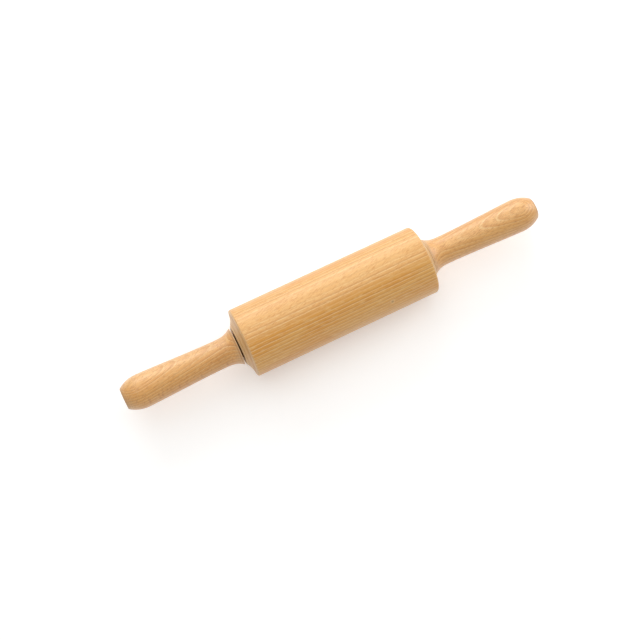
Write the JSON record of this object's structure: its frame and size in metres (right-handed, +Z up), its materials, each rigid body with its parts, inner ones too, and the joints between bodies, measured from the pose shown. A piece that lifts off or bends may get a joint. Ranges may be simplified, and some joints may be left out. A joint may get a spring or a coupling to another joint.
{
  "type": "rolling pin",
  "caption": "Revolving rolling pin in turned beech: a straight barrel on a steel rod between two turned handles, for rolling out dough.",
  "frame": {"origin": "on the surface that the barrel rests on, below the middle of the barrel", "axes": "+X along the pin's axis, towards the right handle; +Z up; +Y across the pin, away from the cook"},
  "size_m": [0.382, 0.06, 0.06],
  "materials": {
    "barrel_beech": "turned and sanded, satin oil",
    "handle_beech": "turned and sanded, satin oil",
    "nylon": "moulded, natural white",
    "steel": "drawn, bright"
  },
  "bodies": {
    "handles": {"axle_rod": "steel", "left_handle": "handle_beech", "right_handle": "handle_beech", "left_thrust_washer": "steel", "right_thrust_washer": "steel"},
    "roller": {"barrel": "barrel_beech", "left_bush": "nylon", "right_bush": "nylon"}
  },
  "joints": [
    {"name": "barrel_spin", "type": "hinge", "parent": "handles", "child": "roller", "pos_m": [0, 0, 0.03], "axis": [1, 0, 0], "continuous": true}
  ]
}
